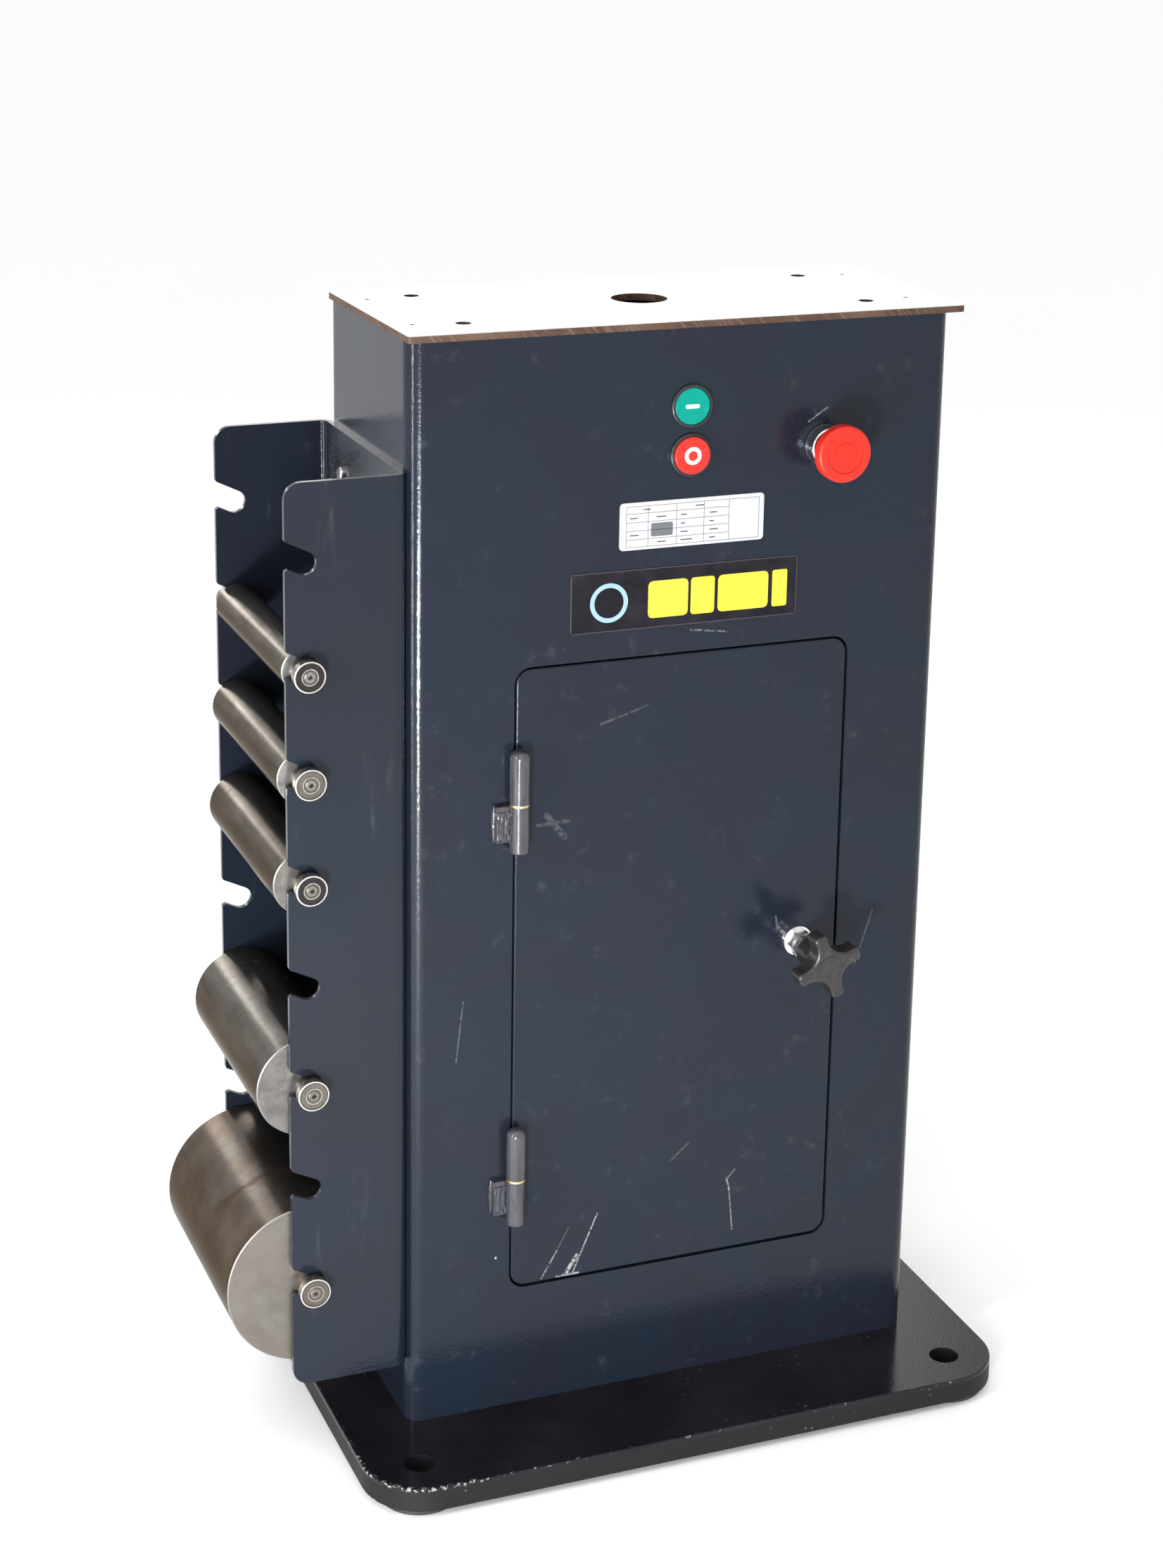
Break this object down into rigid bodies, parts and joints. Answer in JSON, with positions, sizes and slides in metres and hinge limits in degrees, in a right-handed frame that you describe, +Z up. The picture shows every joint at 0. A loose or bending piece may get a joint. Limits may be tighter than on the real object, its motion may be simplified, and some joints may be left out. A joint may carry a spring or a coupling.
{
  "type": "machine pedestal with roller rack",
  "caption": "Floor pedestal of a belt grinding machine: sheet-metal cabinet with hinged door and controls on a heavy base plate, and a side rack of interchangeable steel rollers.",
  "frame": {"origin": "on the floor under the centre of the base plate", "axes": "+X to the right seen from the door side, +Y to the back, +Z up"},
  "size_m": [0.5779, 0.35, 0.818],
  "materials": {
    "anthracite_coat": "semi-gloss powder coat with fine orange peel",
    "black_coat": "gloss black paint",
    "black_rubber": "matte",
    "cut_steel": "bare plate with a laser-cut edge",
    "zinc_steel": "bright zinc plated",
    "brass": "turned",
    "drum_steel": "turned steel with a light brown patina",
    "bearing_steel": "ground",
    "black_plastic": "fine grained",
    "green_plastic": "gloss",
    "red_plastic": "gloss",
    "grey_plastic": "matte",
    "chrome": "polished",
    "plate_white": "satin",
    "plate_black": "satin film"
  },
  "bodies": {
    "root": {"base_plate": "black_coat", "foot_pads": "black_rubber", "cabinet_shell": "anthracite_coat", "shell_rails": "anthracite_coat", "cabinet_bolts": "zinc_steel", "rear_panel": "anthracite_coat", "rear_panel_screws": "zinc_steel", "cable_gland": "black_plastic", "top_plate": "cut_steel", "top_plate_screws": "zinc_steel", "partition_shelf": "anthracite_coat", "contactor": "grey_plastic", "door_frame": "anthracite_coat", "hinge_frame_halves": "anthracite_coat", "hinge_pins": "zinc_steel", "hinge_washers": "brass", "start_bezel": "black_plastic", "stop_bezel": "black_plastic", "estop_collar": "chrome", "estop_gasket": "black_rubber", "control_lock_nuts": "black_plastic", "contact_blocks": "grey_plastic", "data_plate": "plate_white", "name_plate": "plate_black", "roller_rack": "anthracite_coat", "rack_bolts": "zinc_steel", "rack_nuts": "zinc_steel"},
    "door": {"door_panel": "anthracite_coat", "hinge_door_halves": "anthracite_coat", "spindle_bush": "zinc_steel"},
    "latch": {"star_knob": "black_plastic", "knob_spindle": "zinc_steel", "latch_tongue": "zinc_steel", "spindle_nuts": "zinc_steel"},
    "start_button": {"start_cap": "green_plastic", "start_spring": "zinc_steel"},
    "stop_button": {"stop_cap": "red_plastic", "stop_spring": "zinc_steel"},
    "estop_stem": {"estop_plunger": "grey_plastic"},
    "estop_grip": {"estop_head": "red_plastic"},
    "roller_1_bearings": {"roller_1_outer_rings": "bearing_steel", "roller_1_seals": "black_rubber"},
    "roller_1": {"roller_1_drum": "drum_steel", "roller_1_inner_rings": "bearing_steel"},
    "roller_2_bearings": {"roller_2_outer_rings": "bearing_steel", "roller_2_seals": "bearing_steel"},
    "roller_2": {"roller_2_drum": "drum_steel", "roller_2_inner_rings": "bearing_steel"},
    "roller_3_bearings": {"roller_3_outer_rings": "bearing_steel", "roller_3_seals": "black_rubber"},
    "roller_3": {"roller_3_drum": "drum_steel", "roller_3_inner_rings": "bearing_steel"},
    "roller_4_bearings": {"roller_4_outer_rings": "bearing_steel", "roller_4_seals": "bearing_steel"},
    "roller_4": {"roller_4_drum": "drum_steel", "roller_4_inner_rings": "bearing_steel"},
    "roller_5_bearings": {"roller_5_outer_rings": "bearing_steel", "roller_5_seals": "bearing_steel"},
    "roller_5": {"roller_5_drum": "drum_steel", "roller_5_inner_rings": "bearing_steel"}
  },
  "joints": [
    {"name": "door_swing", "type": "hinge", "parent": "root", "child": "door", "pos_m": [-0.1222, -0.0974, 0.35], "axis": [0, 0, -1], "range_deg": [0, 110]},
    {"name": "latch_turn", "type": "hinge", "parent": "door", "child": "latch", "pos_m": [0.097, -0.09, 0.356], "axis": [0, 1, 0], "range_deg": [0, 90]},
    {"name": "start_push", "type": "slide", "parent": "root", "child": "start_button", "axis": [0, 1, 0], "range_m": [0, 0.003], "stiffness_N_per_m": 900, "springref_m": -0.002},
    {"name": "stop_push", "type": "slide", "parent": "root", "child": "stop_button", "axis": [0, 1, 0], "range_m": [0, 0.003], "stiffness_N_per_m": 900, "springref_m": -0.002},
    {"name": "estop_push", "type": "slide", "parent": "root", "child": "estop_stem", "axis": [0, 1, 0], "range_m": [0, 0.004], "stiffness_N_per_m": 1500, "springref_m": -0.002},
    {"name": "estop_twist", "type": "hinge", "parent": "estop_stem", "child": "estop_grip", "pos_m": [0.1037, -0.11, 0.725], "axis": [0, 1, 0], "range_deg": [0, 45], "stiffness_Nm_per_rad": 0.02},
    {"name": "roller_1_lift", "type": "slide", "parent": "root", "child": "roller_1_bearings", "axis": [-0.8988, 0, 0.4384], "range_m": [0, 0.1]},
    {"name": "roller_1_spin", "type": "hinge", "parent": "roller_1_bearings", "child": "roller_1", "pos_m": [-0.2714, 0, 0.5964], "axis": [0, 1, 0], "continuous": true},
    {"name": "roller_2_lift", "type": "slide", "parent": "root", "child": "roller_2_bearings", "axis": [-0.8988, 0, 0.4384], "range_m": [0, 0.1]},
    {"name": "roller_2_spin", "type": "hinge", "parent": "roller_2_bearings", "child": "roller_2", "pos_m": [-0.2714, 0, 0.5214], "axis": [0, 1, 0], "continuous": true},
    {"name": "roller_3_lift", "type": "slide", "parent": "root", "child": "roller_3_bearings", "axis": [-0.8988, 0, 0.4384], "range_m": [0, 0.1]},
    {"name": "roller_3_spin", "type": "hinge", "parent": "roller_3_bearings", "child": "roller_3", "pos_m": [-0.2714, 0, 0.4464], "axis": [0, 1, 0], "continuous": true},
    {"name": "roller_4_lift", "type": "slide", "parent": "root", "child": "roller_4_bearings", "axis": [-0.8988, 0, 0.4384], "range_m": [0, 0.1]},
    {"name": "roller_4_spin", "type": "hinge", "parent": "roller_4_bearings", "child": "roller_4", "pos_m": [-0.2714, 0, 0.2964], "axis": [0, 1, 0], "continuous": true},
    {"name": "roller_5_lift", "type": "slide", "parent": "root", "child": "roller_5_bearings", "axis": [-0.8988, 0, 0.4384], "range_m": [0, 0.1]},
    {"name": "roller_5_spin", "type": "hinge", "parent": "roller_5_bearings", "child": "roller_5", "pos_m": [-0.2714, 0, 0.1464], "axis": [0, 1, 0], "continuous": true}
  ]
}
